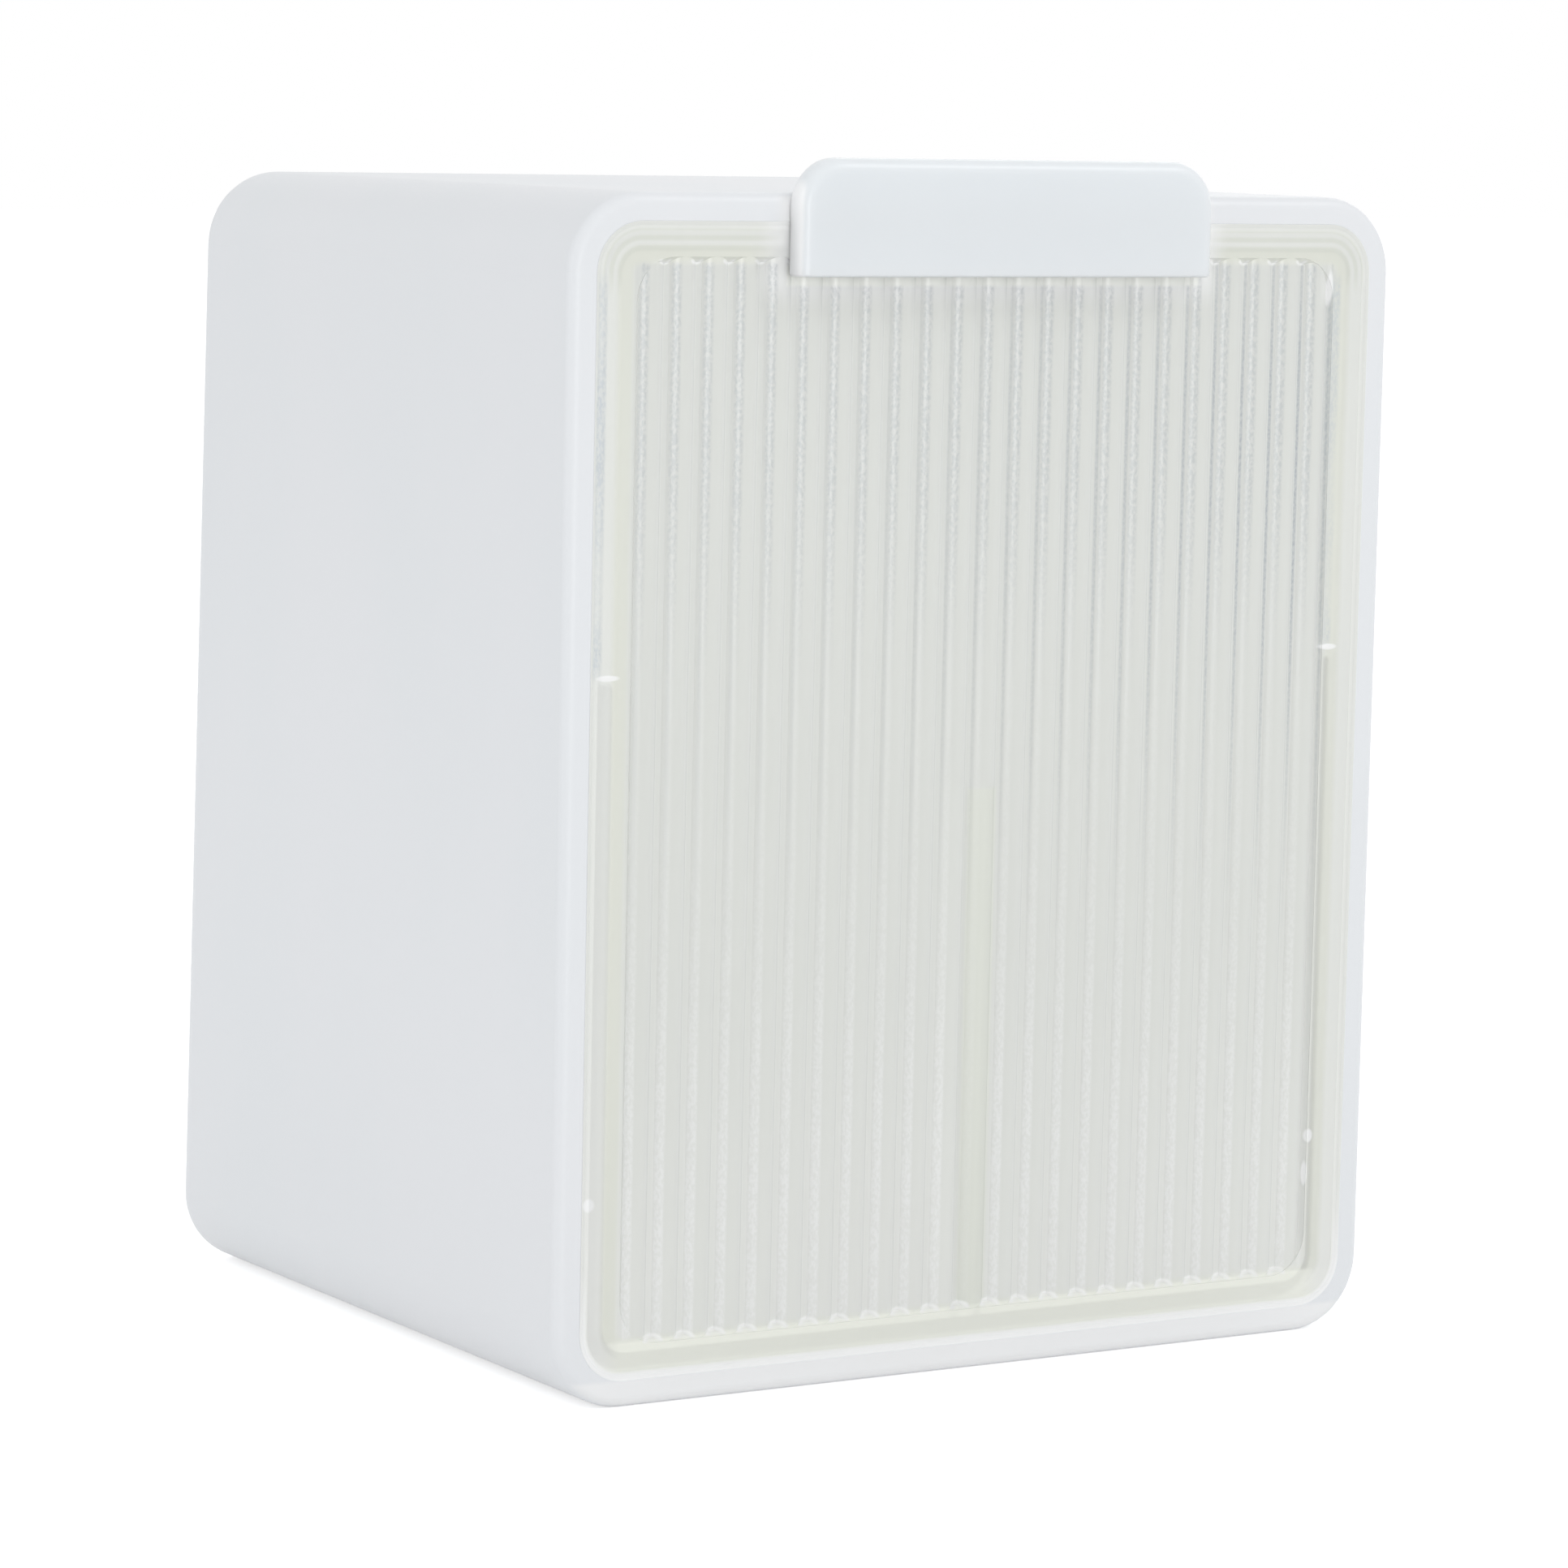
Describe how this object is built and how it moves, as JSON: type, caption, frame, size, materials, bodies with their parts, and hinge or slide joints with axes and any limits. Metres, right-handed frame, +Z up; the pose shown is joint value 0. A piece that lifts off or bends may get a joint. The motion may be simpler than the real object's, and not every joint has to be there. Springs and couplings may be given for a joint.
{
  "type": "cotton pad holder with drawer",
  "caption": "Upright rounded white box with a clear reeded drawer behind its open front, a divider inside and a clip-on handle tab over the drawer's top edge.",
  "frame": {"origin": "on the base plane, under the middle of the outline with the drawer shut", "axes": "+X to the right seen from the front, +Z up, the drawer opens towards -Y"},
  "size_m": [0.09, 0.0815, 0.1132],
  "materials": {
    "case_white": "smooth satin white moulding",
    "drawer_clear": "clear moulding, very slightly yellow, that reads as milky in front of the white case",
    "divider_clear": "clear plate",
    "tab_white": "smooth white moulding"
  },
  "bodies": {
    "case": {"outer_shell": "case_white"},
    "drawer_unit": {"drawer": "drawer_clear", "divider": "divider_clear", "handle_tab": "tab_white"}
  },
  "joints": [
    {"name": "drawer_slide", "type": "slide", "parent": "case", "child": "drawer_unit", "axis": [0, -1, 0], "range_m": [0, 0.0625]}
  ]
}
